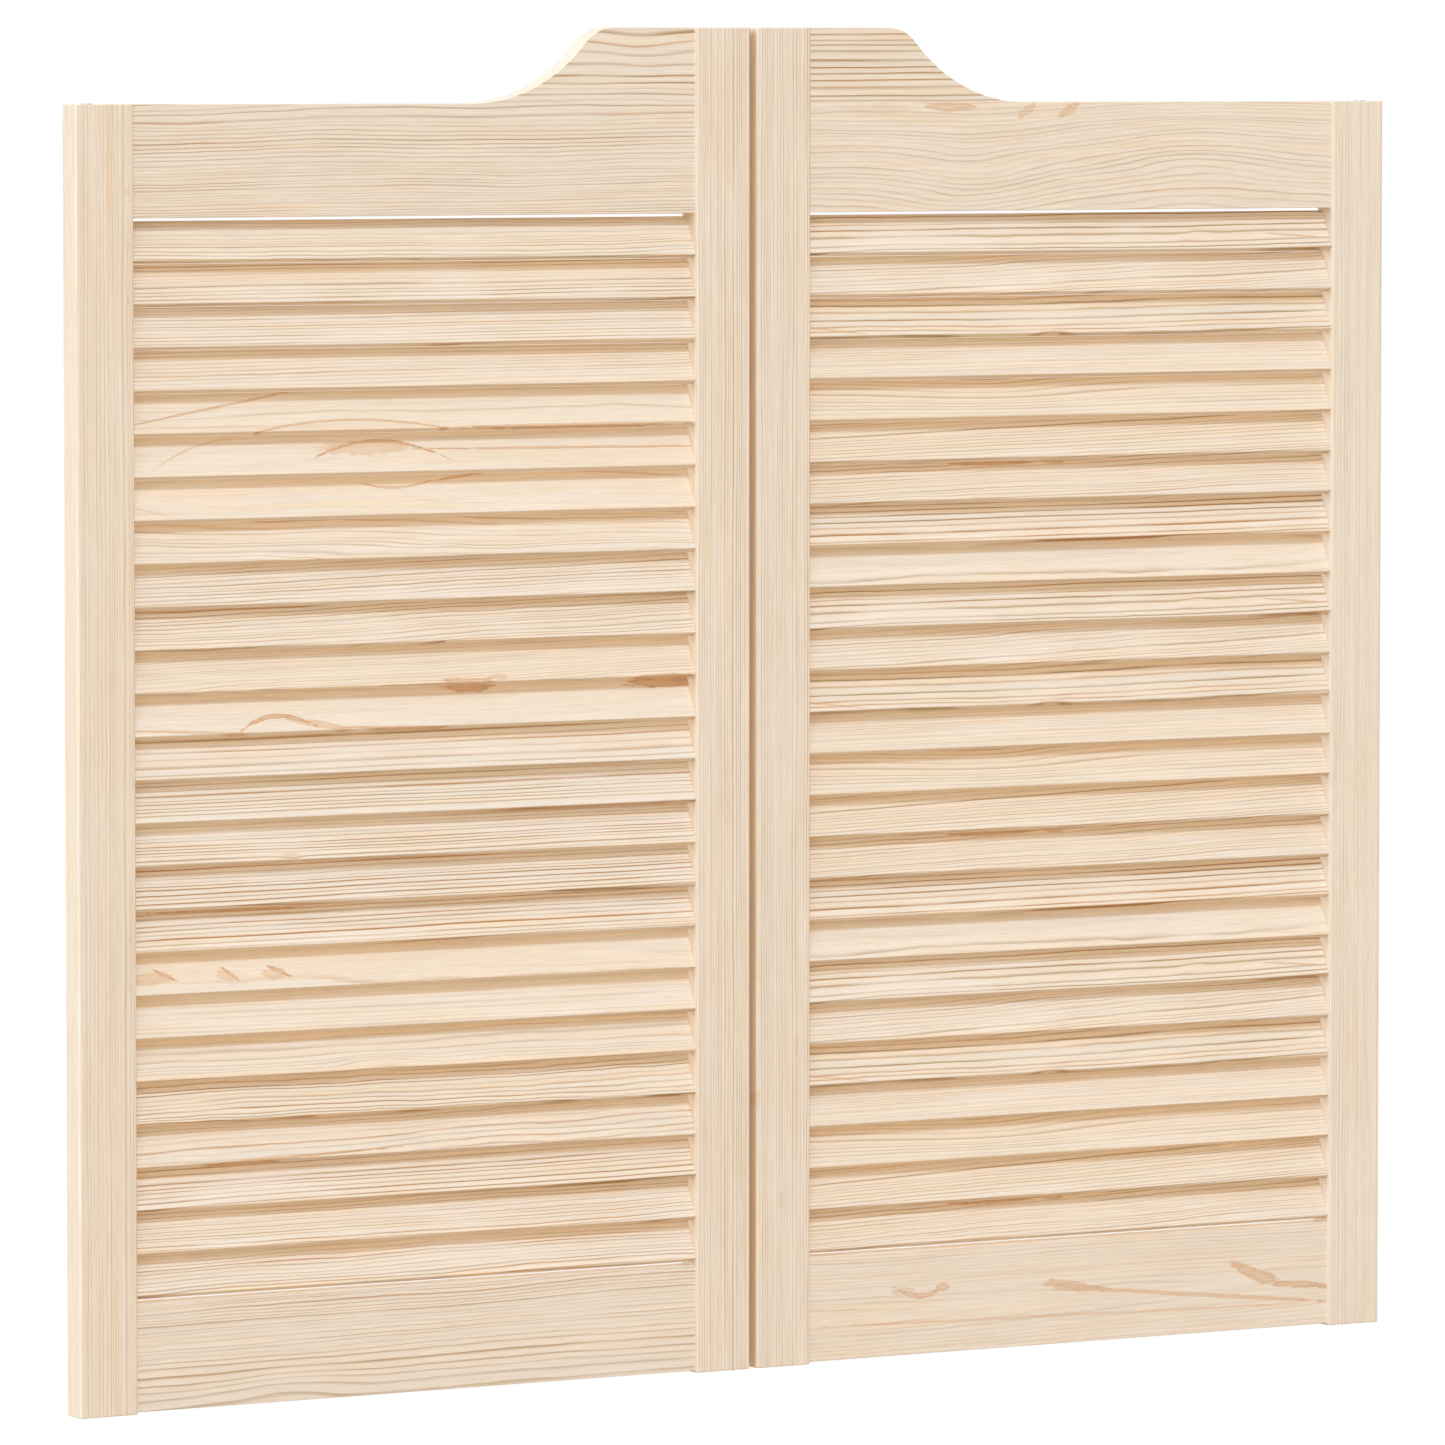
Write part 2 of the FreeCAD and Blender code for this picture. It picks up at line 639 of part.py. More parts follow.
def addLeaf(name, side):
    addHingeStile(name, side)
    addMeetingStile(name, side)
    topBase = "Sizes.standOff + Sizes.topRailBase"
    footBase = "Sizes.standOff + Sizes.footRailLift"
    addRail(f"{name}_top_rail", side, topBase, drawTopRail, topDowels)
    addRail(f"{name}_bottom_rail", side, footBase, drawFootRail, footDowels)
    addDowels(f"{name}_top_rail_dowels", side, topBase, topDowels)
    addDowels(f"{name}_bottom_rail_dowels", side, footBase, footDowels)
    slatCount = int(size("slatCount"))
    addSlats(name, side, 1, 1)
    for first in range(2, slatCount + 1, 2):
        addSlats(name, side, first, min(2, slatCount + 1 - first))
    addBush(f"{name}_lower_bush", side, "Sizes.standOff", upward=True)
    addSpringTube(f"{name}_spring_tube", side)
    addThrustBall(f"{name}_thrust_ball", side)
    addLowerPin(f"{name}_lower_pin", side)
    addReturnSpring(f"{name}_return_spring", side)
    addBush(f"{name}_upper_bush", side, "Sizes.leafLow + Sizes.standOff", upward=False)
    addUpperPin(f"{name}_upper_pin", side)


fillSheet()
addLeaf("left", -1)
addLeaf("right", 1)
doc.recompute()

for item in doc.Objects:
    if "Invalid" in item.State or "Error" in item.State:
        raise RuntimeError(f"{item.Label} failed: {item.State}")
for node in nodes:
    if node.Shape.isNull() or not node.Shape.isValid() or not node.Shape.Solids:
        raise RuntimeError(f"{node.Label} has no valid solid")
for node in nodes:
    node.Shape.exportStep(f"parts/{node.Label}.step")
print(f"{len(nodes)} sub-parts written")
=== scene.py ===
import math
import random

import bmesh
import bpy
from mathutils import Euler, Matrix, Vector


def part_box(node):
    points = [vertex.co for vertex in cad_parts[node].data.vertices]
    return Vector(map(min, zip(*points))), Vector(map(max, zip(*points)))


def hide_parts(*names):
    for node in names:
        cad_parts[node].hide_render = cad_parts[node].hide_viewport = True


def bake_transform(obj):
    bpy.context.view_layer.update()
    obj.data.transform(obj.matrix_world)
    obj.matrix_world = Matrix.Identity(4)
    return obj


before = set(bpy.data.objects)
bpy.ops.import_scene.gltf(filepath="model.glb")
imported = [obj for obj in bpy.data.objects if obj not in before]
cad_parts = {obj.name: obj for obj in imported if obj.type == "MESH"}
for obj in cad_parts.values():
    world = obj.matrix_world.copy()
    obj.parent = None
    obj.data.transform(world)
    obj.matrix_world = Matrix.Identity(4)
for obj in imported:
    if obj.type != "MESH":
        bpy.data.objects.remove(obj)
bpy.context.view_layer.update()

scene = bpy.context.scene
scene.view_settings.view_transform = "Standard"
millimetres = 1000.0   # in one metre
sides = ("left", "right")


# Camera: a long lens, well back and to the left of the doors, at about the height of their tops.
viewpoint = {
    "place": (-3.45388, -5.88308, 0.88152),   # m
    "turn": 30.283,                           # degrees to the right of +Y
    "dip": 3.741,                             # degrees below level
    "lens": 253.94,                           # mm
    "sensor": 36.0,                           # mm
}

camera = bpy.data.objects.new("camera", bpy.data.cameras.new("camera"))
camera.data.lens = viewpoint["lens"]
camera.data.sensor_width = viewpoint["sensor"]
camera.location = viewpoint["place"]
camera.rotation_euler = (math.radians(90 - viewpoint["dip"]), 0, -math.radians(viewpoint["turn"]))
scene.collection.objects.link(camera)
scene.camera = camera
print("camera placed")


def linear(hexColour):
    # sRGB hex to the linear colour that a socket takes
    shares = [int(hexColour[i:i + 2], 16) / 255 for i in (1, 3, 5)]
    return [c / 12.92 if c <= 0.04045 else ((c + 0.055) / 1.055) ** 2.4 for c in shares] + [1.0]


def addNode(tree, kind, inputs=None, **settings):
    # one node, with its settings by name and, for each input, a value or the output that feeds it
    node = tree.nodes.new(kind)
    for name, value in settings.items():
        setattr(node, name, value)
    for name, value in (inputs or {}).items():
        if isinstance(value, bpy.types.NodeSocket):
            tree.links.new(value, node.inputs[name])
        else:
            node.inputs[name].default_value = value
    return node


def startMaterial(name):
    material = bpy.data.materials.new(name)
    material.use_nodes = True
    material.node_tree.nodes.clear()
    return material


def dress(nodeName, material):
    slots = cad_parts[nodeName].data.materials
    slots.clear()
    slots.append(material)


# Lamps: a key from above the front, which draws the slats' shadows, and broad fills. They are cool and the
# room is warm, so that a face in the light is neutral and one in shadow is golden. A share of 1 shows a
# colour as written on a face square to the lamp, and the shares on the front face add up to about 1.
lamps = {
    "key": {"azimuth": 0, "elevation": 44.5, "share": 0.42, "spread": 7, "colour": "#C4DFFF"},
    "frontFill": {"azimuth": -40, "elevation": 14, "share": 0.31, "spread": 60, "colour": "#E2F1FF"},
    "sideFill": {"azimuth": -95, "elevation": 25, "share": 0.56, "spread": 40, "colour": "#D1E7FF"},
    "backFill": {"azimuth": 160, "elevation": 7, "share": 0.24, "spread": 35, "colour": "#FFEBD2"},
}
room = {"lightColour": "#FFEACB", "lightShare": 0.62, "backdropColour": "#FFFFFF"}


def hangLamps():
    for name, lamp in lamps.items():
        sun = bpy.data.lights.new(name, "SUN")
        sun.energy = lamp["share"] * math.pi
        sun.angle = math.radians(lamp["spread"])
        sun.color = linear(lamp["colour"])[:3]
        holder = bpy.data.objects.new(name, sun)
        turn, rise = math.radians(lamp["azimuth"]), math.radians(lamp["elevation"])
        towards = Vector((math.sin(turn) * math.cos(rise), -math.cos(turn) * math.cos(rise), math.sin(rise)))
        holder.rotation_euler = towards.to_track_quat("Z", "Y").to_euler()
        scene.collection.objects.link(holder)


def seenRays(tree):
    # 1 where the eye looks at the room, also in metal, and 0 where the room only lights the wood
    path = addNode(tree, "ShaderNodeLightPath").outputs
    mirrored = addNode(tree, "ShaderNodeMath", {0: path["Is Camera Ray"], 1: path["Is Glossy Ray"]},
                       operation="MAXIMUM")
    return addNode(tree, "ShaderNodeMath", {0: mirrored.outputs[0], 1: path["Is Transmission Ray"]},
                   operation="MAXIMUM").outputs[0]


def lightRoom():
    # Seen directly, or in metal, the room is white; as light on the wood it is much dimmer.
    world = bpy.data.worlds.new("white studio")
    world.use_nodes = True
    scene.world = world
    tree = world.node_tree
    tree.nodes.clear()
    dim = addNode(tree, "ShaderNodeBackground",
                  {"Color": linear(room["lightColour"]), "Strength": room["lightShare"]})
    backdrop = addNode(tree, "ShaderNodeBackground",
                       {"Color": linear(room["backdropColour"]), "Strength": 1.0})
    both = addNode(tree, "ShaderNodeMixShader",
                   {0: seenRays(tree), 1: dim.outputs[0], 2: backdrop.outputs[0]})
    addNode(tree, "ShaderNodeOutputWorld", {"Surface": both.outputs[0]})


hangLamps()
lightRoom()
print("studio lit")


# Floor: matt white paper well below the doors, which hang from their posts. It thins out to the white room.
# The light that it sends back up is dim and warm, as from a room's own boards.
paper = {"height": -0.42, "radius": 2.2, "solidTo": 0.9, "colour": "#FFFFFF", "bounce": "#CDB290",
         "roughness": 0.9, "corners": 96}


def layFloor():
    shape = bmesh.new()
    bmesh.ops.create_circle(shape, cap_ends=True, segments=paper["corners"], radius=paper["radius"])
    mesh = bpy.data.meshes.new("paperFloor")
    shape.to_mesh(mesh)
    shape.free()
    floor = bpy.data.objects.new("paperFloor", mesh)
    floor.location = (0, 0, paper["height"])
    scene.collection.objects.link(floor)
    material = startMaterial("matt white paper")
    tree = material.node_tree
    place = addNode(tree, "ShaderNodeTexCoord").outputs["Object"]
    reach = addNode(tree, "ShaderNodeVectorMath", {0: place}, operation="LENGTH")
    fade = addNode(tree, "ShaderNodeMapRange",
                   {"Value": reach.outputs["Value"], "From Min": paper["solidTo"],
                    "From Max": paper["radius"]}, interpolation_type="SMOOTHERSTEP")
    seen = seenRays(tree)
    colour = addNode(tree, "ShaderNodeMix", {0: seen, 6: linear(paper["bounce"]),
                                             7: linear(paper["colour"])}, data_type="RGBA").outputs[2]
    # rough paper looks darker from the side away from the lamps, so the eye is shown it smooth
    rough = addNode(tree, "ShaderNodeMath", {0: seen, 1: -paper["roughness"], 2: paper["roughness"]},
                    operation="MULTIPLY_ADD")
    sheet = addNode(tree, "ShaderNodeBsdfDiffuse", {"Color": colour, "Roughness": rough.outputs[0]})
    clear = addNode(tree, "ShaderNodeBsdfTransparent")
    both = addNode(tree, "ShaderNodeMixShader",
                   {0: fade.outputs[0], 1: sheet.outputs[0], 2: clear.outputs[0]})
    addNode(tree, "ShaderNodeOutputMaterial", {"Surface": both.outputs[0]})
    mesh.materials.append(material)


layFloor()
print("floor laid")


# Raw pine, planed and sanded, with no finish: pale early wood, thin tan lines where each year's late
# wood ends, and flecks of cream, straw and grey.
pine = {
    "cream": "#F4E5D2",
    "blush": "#F3DEC3",
    "grey": "#ECE1D1",
    "lateTan": "#BC844C",
    "lateGrey": "#AE8E60",
    "thickResin": "#C68E5A",
    "thinResin": "#EBC192",
    # painted shade: a warm tint on the meeting stiles' side faces, in place of the shade in the gap between
    # the leaves
    "gapShadeTint": "#FFF9F0",
    "roughness": (0.52, 0.64),
    "reliefDepth": 0.00012,     # m, the late wood stands this much proud of the sanded early wood
    "ior": 1.5,
    "specular": 0.2,
}
# mm along the grain, mm across it, and how many finer layers each pattern has
grainSizes = {
    "wander": (190, 30, 1),     # slow bends of the rings
    "waver": (42, 9, 1),        # ripples in them
    "fade": (95, 13, 1),        # where a ring's dark line grows faint
    "blotch": (90, 8, 2),       # flecks of colour
    "streak": (80, 1.4, 2),     # narrow bands of fibres
    "fibre": (16, 0.5, 1),      # single bundles, drawn as coarse as they need to show
}
raggedSize = (9, 1.8, 1)        # and those of the edge of a resin patch
boardValues = {
    "pithAcross": 60.0,   # mm, from the board's middle to the heart of the stem
    "pithDepth": 20.0,
    "lean": 0.0,          # mm that the heart drifts in a metre of length, across the face
    "dive": 0.0,          # and through the thickness
    "ringWidth": 2.6,     # mm
    "taper": 0.0,         # 1 where the years near the heart are wide and the later ones narrow
    "wander": 1.0,        # mm that the rings stray
    "lines": 0.4,         # how dark the late wood is
    "warmth": 0.5,        # 0 cream, 1 straw
    "seed": 0.0,          # shifts every pattern, so that no two boards look alike
}
taperReach = 60.0         # mm from the heart, where a tapering board's years are ringWidth wide
knotValues = {"bow": 0.0, "patch": 0.0}   # mm, and a share of full colour

# What every board has in common. A pair is where a change starts and where it ends.
growth = {
    "ripple": 0.25,           # share of the ripples beside the slow bends
    "stray": 5.0,             # mm for each mm of wander, over the whole reach of the noise
    "spell": 0.31,            # how fast wet and dry years follow one another
    "spellYears": 1.5,        # and how many years' width they shift
    "lineStrength": (0.3, 1.0),   # of the faintest and the strongest year
    "fadeAt": (0.32, 0.55),   # of the fade noise
    "fadeTo": 0.55,           # what a line keeps where it fades
    "crispUpTo": 0.3,         # squared sine of the angle between a ring and the face
    "crispFrom": 0.12,        # what a line keeps where it lies along the face
    "blushAt": (0.86, 1.14),  # of warmth and blotch noise together
    "dulled": 0.65,           # most grey that a year's wood takes
    "fibreAt": (0.6, 1.4),    # of the streak and fibre noise together
    "fibreShades": (1.09, 0.91),
    "fibreRelief": 0.4,       # beside the relief of the late wood
}
# how dark the wood is through one year's growth, from spring to autumn
seasons = ((0.0, 0.4), (0.05, 0.05), (0.45, 0.0), (0.7, 0.12), (0.83, 0.75), (0.9, 1.0), (0.97, 1.0),
           (1.0, 0.4))
# A patch's shares are of the squared distance from its middle, where 1 is the end of its span.
resin = {"ragged": 1.6, "edgeAt": (1.9, 1.3), "rimAt": (0.9, 1.6), "middle": 0.65}


def drawKnot():
    # Beside a branch the rings bow, and a patch of resin may lie there. Its Bend is the slope and the curve
    # of its middle line, which may run off with the grain.
    tree = bpy.data.node_groups.new("pine knot", "ShaderNodeTree")
    for name in ("Place", "Centre", "Span", "Bend"):
        tree.interface.new_socket(name, in_out="INPUT", socket_type="NodeSocketVector")
    for way in ("INPUT", "OUTPUT"):
        for name in knotValues:
            tree.interface.new_socket(name, in_out=way, socket_type="NodeSocketFloat")
    given = addNode(tree, "NodeGroupInput").outputs
    away = addNode(tree, "ShaderNodeVectorMath", {0: given["Place"], 1: given["Centre"]},
                   operation="SUBTRACT")
    apart = addNode(tree, "ShaderNodeSeparateXYZ", {0: away.outputs[0]}).outputs
    bend = addNode(tree, "ShaderNodeSeparateXYZ", {0: given["Bend"]}).outputs
    slope = addNode(tree, "ShaderNodeMath", {0: apart["X"], 1: bend["Y"], 2: bend["X"]},
                    operation="MULTIPLY_ADD")
    middleLine = addNode(tree, "ShaderNodeMath", {0: apart["X"], 1: slope.outputs[0]}, operation="MULTIPLY")
    rise = addNode(tree, "ShaderNodeMath", {0: apart["Y"], 1: middleLine.outputs[0]}, operation="SUBTRACT")
    bent = addNode(tree, "ShaderNodeCombineXYZ", {"X": apart["X"], "Y": rise.outputs[0], "Z": 0.0})
    shares = addNode(tree, "ShaderNodeVectorMath", {0: bent.outputs[0], 1: given["Span"]},
                     operation="MULTIPLY")
    square = addNode(tree, "ShaderNodeVectorMath", {0: shares.outputs[0], 1: shares.outputs[0]},
                     operation="DOT_PRODUCT").outputs["Value"]
    lower = addNode(tree, "ShaderNodeMath", {0: square, 1: -1.0}, operation="MULTIPLY")
    near = addNode(tree, "ShaderNodeMath", {0: lower.outputs[0]}, operation="EXPONENT").outputs[0]
    bow = addNode(tree, "ShaderNodeMath", {0: near, 1: given["bow"]}, operation="MULTIPLY")
    # the patch has a ragged edge, darker than its middle
    along, across, layers = raggedSize
    spot = addNode(tree, "ShaderNodeVectorMath", {0: given["Place"], 1: (1 / along, 1 / across, 1 / across)},
                   operation="MULTIPLY")
    ragged = addNode(tree, "ShaderNodeTexNoise", {"Vector": spot.outputs[0], "Scale": 1.0, "Detail": layers})
    edge = addNode(tree, "ShaderNodeMath", {0: ragged.outputs["Fac"], 1: resin["ragged"], 2: square},
                   operation="MULTIPLY_ADD").outputs[0]
    inside = addNode(tree, "ShaderNodeMapRange",
                     {"Value": edge, "From Min": resin["edgeAt"][0], "From Max": resin["edgeAt"][1]},
                     interpolation_type="SMOOTHSTEP")
    rim = addNode(tree, "ShaderNodeMapRange",
                  {"Value": edge, "From Min": resin["rimAt"][0], "From Max": resin["rimAt"][1],
                   "To Min": resin["middle"], "To Max": 1.0})
    shaded = addNode(tree, "ShaderNodeMath", {0: inside.outputs[0], 1: rim.outputs[0]}, operation="MULTIPLY")
    patch = addNode(tree, "ShaderNodeMath", {0: shaded.outputs[0], 1: given["patch"]}, operation="MULTIPLY")
    addNode(tree, "NodeGroupOutput", {"bow": bow.outputs[0], "patch": patch.outputs[0]})
    return tree


def growPine():
    # Rings about the heart of a stem, cut by the board's faces, so that the same rings show on every side.
    tree = bpy.data.node_groups.new("pine figure", "ShaderNodeTree")
    tree.interface.new_socket("Place", in_out="INPUT", socket_type="NodeSocketVector")
    for name in (*boardValues, *knotValues):
        tree.interface.new_socket(name, in_out="INPUT", socket_type="NodeSocketFloat")
    tree.interface.new_socket("Colour", in_out="OUTPUT", socket_type="NodeSocketColor")
    tree.interface.new_socket("Relief", in_out="OUTPUT", socket_type="NodeSocketFloat")
    given = addNode(tree, "NodeGroupInput").outputs
    place, seed = given["Place"], given["seed"]

    noise = {}
    for name, (along, across, layers) in grainSizes.items():
        spot = addNode(tree, "ShaderNodeVectorMath",
                       {0: place, 1: (1 / along, 1 / across, 1 / across), 2: seed}, operation="MULTIPLY_ADD")
        noise[name] = addNode(tree, "ShaderNodeTexNoise",
                              {"Vector": spot.outputs[0], "Scale": 1.0, "Detail": layers}).outputs["Fac"]

    # how far each point is from the heart, in mm
    along = addNode(tree, "ShaderNodeSeparateXYZ", {0: place}).outputs["X"]
    metres = addNode(tree, "ShaderNodeMath", {0: along, 1: 1 / millimetres}, operation="MULTIPLY")
    drift = addNode(tree, "ShaderNodeCombineXYZ", {"X": 0.0, "Y": given["lean"], "Z": given["dive"]})
    drifted = addNode(tree, "ShaderNodeVectorMath", {0: drift.outputs[0], "Scale": metres.outputs[0]},
                      operation="SCALE")
    heart = addNode(tree, "ShaderNodeCombineXYZ",
                    {"X": 0.0, "Y": given["pithAcross"], "Z": given["pithDepth"]})
    crossing = addNode(tree, "ShaderNodeVectorMath", {0: place, 1: (0, 1, 1)}, operation="MULTIPLY")
    fromHeart = addNode(tree, "ShaderNodeVectorMath", {0: crossing.outputs[0], 1: heart.outputs[0]},
                        operation="SUBTRACT")
    fromDrift = addNode(tree, "ShaderNodeVectorMath", {0: fromHeart.outputs[0], 1: drifted.outputs[0]},
                        operation="SUBTRACT")
    radius = addNode(tree, "ShaderNodeVectorMath", {0: fromDrift.outputs[0]},
                     operation="LENGTH").outputs["Value"]
    ripple = addNode(tree, "ShaderNodeMath", {0: noise["waver"], 1: growth["ripple"], 2: noise["wander"]},
                     operation="MULTIPLY_ADD")
    centred = addNode(tree, "ShaderNodeMath", {0: ripple.outputs[0], 1: (1 + growth["ripple"]) / 2},
                      operation="SUBTRACT")
    reach = addNode(tree, "ShaderNodeMath", {0: given["wander"], 1: growth["stray"]}, operation="MULTIPLY")
    strayed = addNode(tree, "ShaderNodeMath", {0: centred.outputs[0], 1: reach.outputs[0], 2: radius},
                      operation="MULTIPLY_ADD")
    bowed = addNode(tree, "ShaderNodeMath", {0: strayed.outputs[0], 1: given["bow"]}, operation="ADD")

    # years counted from the heart, some wide and some narrow
    even = addNode(tree, "ShaderNodeMath", {0: bowed.outputs[0], 1: given["ringWidth"]}, operation="DIVIDE")
    outer = addNode(tree, "ShaderNodeMath", {0: bowed.outputs[0], 1: 2 * taperReach}, operation="DIVIDE")
    crowding = addNode(tree, "ShaderNodeMix", {0: given["taper"], 2: 1.0, 3: outer.outputs[0]},
                       data_type="FLOAT")
    years = addNode(tree, "ShaderNodeMath", {0: even.outputs[0], 1: crowding.outputs[0]},
                    operation="MULTIPLY")
    spell = addNode(tree, "ShaderNodeMath", {0: years.outputs[0], 1: growth["spell"], 2: seed},
                    operation="MULTIPLY_ADD")
    weather = addNode(tree, "ShaderNodeTexNoise", {"W": spell.outputs[0], "Scale": 1.0, "Detail": 1.0},
                      noise_dimensions="1D")
    count = addNode(tree, "ShaderNodeMath",
                    {0: weather.outputs["Fac"], 1: growth["spellYears"], 2: years.outputs[0]},
                    operation="MULTIPLY_ADD")
    year = addNode(tree, "ShaderNodeMath", {0: count.outputs[0]}, operation="FLOOR")
    season = addNode(tree, "ShaderNodeMath", {0: count.outputs[0]}, operation="FRACT")
    ramp = addNode(tree, "ShaderNodeValToRGB", {"Fac": season.outputs[0]})
    late = ramp.outputs["Color"]
    for position, _ in seasons[1:-1]:
        ramp.color_ramp.elements.new(position)
    for element, (_, shade) in zip(ramp.color_ramp.elements, seasons):
        element.color = (shade, shade, shade, 1)

    # each year's line has its own strength and hue
    lot = addNode(tree, "ShaderNodeMath", {0: year.outputs[0], 1: seed}, operation="ADD")
    luck = addNode(tree, "ShaderNodeTexWhiteNoise", {"W": lot.outputs[0]}, noise_dimensions="1D")
    lucks = addNode(tree, "ShaderNodeSeparateColor", {0: luck.outputs["Color"]}).outputs
    strength = addNode(tree, "ShaderNodeMapRange", {"Value": lucks[0], "To Min": growth["lineStrength"][0],
                                                    "To Max": growth["lineStrength"][1]})
    faint = addNode(tree, "ShaderNodeMapRange",
                    {"Value": noise["fade"], "From Min": growth["fadeAt"][0], "From Max": growth["fadeAt"][1],
                     "To Min": growth["fadeTo"], "To Max": 1.0}, interpolation_type="SMOOTHSTEP")
    # where the saw runs along a ring, its line is wide and weak
    cut = addNode(tree, "ShaderNodeSeparateXYZ", {0: fromDrift.outputs[0]}).outputs["Y"]
    slant = addNode(tree, "ShaderNodeMath", {0: cut, 1: radius}, operation="DIVIDE").outputs[0]
    squared = addNode(tree, "ShaderNodeMath", {0: slant, 1: slant}, operation="MULTIPLY")
    crisp = addNode(tree, "ShaderNodeMapRange",
                    {"Value": squared.outputs[0], "From Max": growth["crispUpTo"],
                     "To Min": growth["crispFrom"], "To Max": 1.0}, interpolation_type="SMOOTHSTEP")
    shown = addNode(tree, "ShaderNodeMath", {0: strength.outputs[0], 1: faint.outputs[0]},
                    operation="MULTIPLY")
    clear = addNode(tree, "ShaderNodeMath", {0: shown.outputs[0], 1: crisp.outputs[0]}, operation="MULTIPLY")
    line = addNode(tree, "ShaderNodeMath", {0: late, 1: clear.outputs[0]}, operation="MULTIPLY")
    dark = addNode(tree, "ShaderNodeMath", {0: line.outputs[0], 1: given["lines"]}, operation="MULTIPLY",
                   use_clamp=True)

    # colour
    warm = addNode(tree, "ShaderNodeMath", {0: noise["blotch"], 1: given["warmth"]}, operation="ADD")
    blushing = addNode(tree, "ShaderNodeMapRange",
                       {"Value": warm.outputs[0], "From Min": growth["blushAt"][0],
                        "From Max": growth["blushAt"][1]})
    early = addNode(tree, "ShaderNodeMix", {0: blushing.outputs[0], 6: linear(pine["cream"]),
                                            7: linear(pine["blush"])}, data_type="RGBA")
    dull = addNode(tree, "ShaderNodeMath", {0: lucks[2], 1: growth["dulled"]}, operation="MULTIPLY")
    ground = addNode(tree, "ShaderNodeMix", {0: dull.outputs[0], 6: early.outputs[2],
                                             7: linear(pine["grey"])}, data_type="RGBA")
    lateWood = addNode(tree, "ShaderNodeMix", {0: lucks[1], 6: linear(pine["lateTan"]),
                                               7: linear(pine["lateGrey"])}, data_type="RGBA")
    wood = addNode(tree, "ShaderNodeMix", {0: dark.outputs[0], 6: ground.outputs[2], 7: lateWood.outputs[2]},
                   data_type="RGBA")
    fibres = addNode(tree, "ShaderNodeMath", {0: noise["streak"], 1: noise["fibre"]}, operation="ADD")
    sheen = addNode(tree, "ShaderNodeMapRange",
                    {"Value": fibres.outputs[0], "From Min": growth["fibreAt"][0],
                     "From Max": growth["fibreAt"][1], "To Min": growth["fibreShades"][0],
                     "To Max": growth["fibreShades"][1]})
    fibrous = addNode(tree, "ShaderNodeVectorMath", {0: wood.outputs[2], "Scale": sheen.outputs[0]},
                      operation="SCALE")

    # resin is pale orange where it is thin and brown where it is thick
    stain = addNode(tree, "ShaderNodeMix", {0: given["patch"], 6: linear(pine["thinResin"]),
                                            7: linear(pine["thickResin"])}, data_type="RGBA")
    stained = addNode(tree, "ShaderNodeMix", {0: given["patch"], 6: fibrous.outputs[0], 7: stain.outputs[2]},
                      data_type="RGBA")
    relief = addNode(tree, "ShaderNodeMath",
                     {0: noise["fibre"], 1: growth["fibreRelief"], 2: dark.outputs[0]},
                     operation="MULTIPLY_ADD")
    addNode(tree, "NodeGroupOutput", {"Colour": stained.outputs[2], "Relief": relief.outputs[0]})
    return tree


# How each kind of board lies: the turn that brings its length, face and thickness to X, Y and Z.
slatTilt = 64.5   # degrees from level
boardTurns = {
    "stile": Euler((math.radians(90), 0, math.radians(90))),
    "rail": Euler((math.radians(-90), 0, 0)),
    "slat": Euler((math.radians(-slatTilt), 0, 0)),
}
# Narrow faces where the lines fade to a share of what they are on the front: a stile's edges lie along a
# ring, and a top rail's sweep is sanded across the grain.
softEdges = {
    "stile": {"towards": (1, 0, 0), "both": True, "from": 0.6, "to": 0.95, "keeps": 0.25},
    "rail": {"towards": (0, 0, 1), "both": False, "from": 0.2, "to": 0.5, "keeps": 0.12},
}
pineFigure = growPine()
pineKnot = drawKnot()


